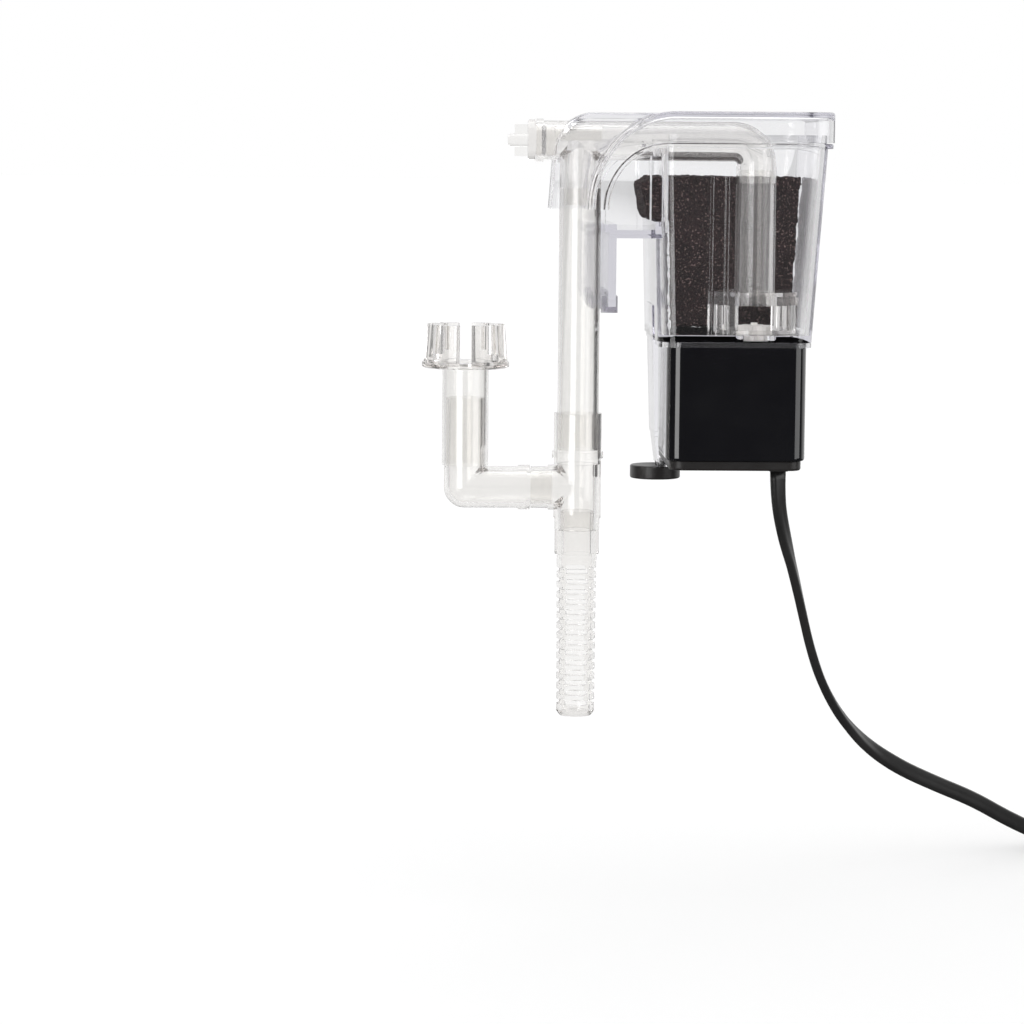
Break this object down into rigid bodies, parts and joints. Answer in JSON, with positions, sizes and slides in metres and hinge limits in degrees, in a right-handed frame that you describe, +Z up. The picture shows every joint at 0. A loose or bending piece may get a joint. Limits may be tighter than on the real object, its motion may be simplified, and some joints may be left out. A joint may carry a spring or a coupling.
{
  "type": "hang on back aquarium filter",
  "caption": "Clear hang-on-back aquarium filter: box with spout, lift-off lid, foam, motor pod below, intake tube with strainer and surface skimmer, flat cord with plug.",
  "frame": {"origin": "underside of the hanger saddle where it rests on the tank's rim: the middle of the glass in X and of the filter's width in Y", "axes": "+Z up, -X into the tank, +X away from the tank, Y along the rim"},
  "size_m": [0.2921, 0.1429, 0.236],
  "materials": {
    "clear_box": "clear injection-moulded plastic, polished, with a faint violet tint at the edges",
    "clear_tube": "clear moulded tube, slightly warmer and smokier than the box",
    "gloss_black": "polished black moulded plastic",
    "satin_black": "satin black moulded plastic",
    "white_plastic": "off-white moulded plastic",
    "bobbin": "natural nylon",
    "magnet": "dark ferrite",
    "shaft_ceramic": "ground white ceramic",
    "rubber_black": "matt black rubber",
    "silicone": "milky silicone rubber",
    "foam": "dark brown-black open-cell filter foam",
    "steel": "plain stainless steel",
    "laminations": "stacked silicon steel",
    "copper": "enamelled copper winding wire",
    "cord_black": "flat twin cord with a satin black jacket",
    "pin_metal": "nickel-plated pins"
  },
  "bodies": {
    "root": {"filter_box": "clear_box", "hook_bumper": "silicone", "impeller_cover": "clear_tube", "impeller_shaft": "shaft_ceramic", "shaft_bush": "rubber_black", "sponge": "foam", "motor_housing": "gloss_black", "motor_base_plate": "satin_black", "base_screws": "steel", "stator_core": "laminations", "coil_bobbin": "bobbin", "stator_coil": "copper", "riser_tube": "clear_tube", "cross_tube": "clear_tube", "drop_tube": "clear_tube", "wheel_pin": "satin_black", "cord_grommet": "satin_black", "cord_tube": "cord_black", "cord_coil": "cord_black", "cord_tail": "cord_black", "cord_tie": "satin_black", "plug_body": "satin_black", "plug_pins": "pin_metal"},
    "lid": {"lid": "clear_box"},
    "rotor": {"impeller": "white_plastic", "rotor_magnet": "magnet"},
    "knob": {"flow_knob": "clear_tube", "knob_o_ring": "silicone"},
    "intake_tee": {"skimmer_tee": "clear_tube", "strainer": "clear_tube"},
    "elbow": {"skimmer_elbow": "clear_tube"},
    "skimmer": {"skimmer_stem": "clear_tube", "skimmer_cup": "clear_tube"},
    "wheel": {"level_wheel": "satin_black"}
  },
  "joints": [
    {"name": "lid_lift", "type": "slide", "parent": "root", "child": "lid", "axis": [0, 0, 1], "range_m": [0, 0.045]},
    {"name": "rotor_spin", "type": "hinge", "parent": "root", "child": "rotor", "pos_m": [0.0378, -0.018, -0.03], "axis": [0, 0, 1], "continuous": true},
    {"name": "flow_knob_turn", "type": "hinge", "parent": "root", "child": "knob", "pos_m": [-0.0261, -0.018, 0.0276], "axis": [-1, 0, 0], "range_deg": [0, 180]},
    {"name": "tee_height", "type": "slide", "parent": "root", "child": "intake_tee", "axis": [0, 0, 1], "range_m": [-0.007, 0.0035]},
    {"name": "elbow_swivel", "type": "hinge", "parent": "intake_tee", "child": "elbow", "pos_m": [-0.027, -0.018, -0.0732], "axis": [1, 0, 0], "range_deg": [-90, 90]},
    {"name": "skimmer_height", "type": "slide", "parent": "elbow", "child": "skimmer", "axis": [0, 0, 1], "range_m": [0, 0.01]},
    {"name": "level_wheel_turn", "type": "hinge", "parent": "root", "child": "wheel", "pos_m": [0.0122, 0, -0.07], "axis": [0, 0, 1], "range_deg": [0, 180]}
  ]
}
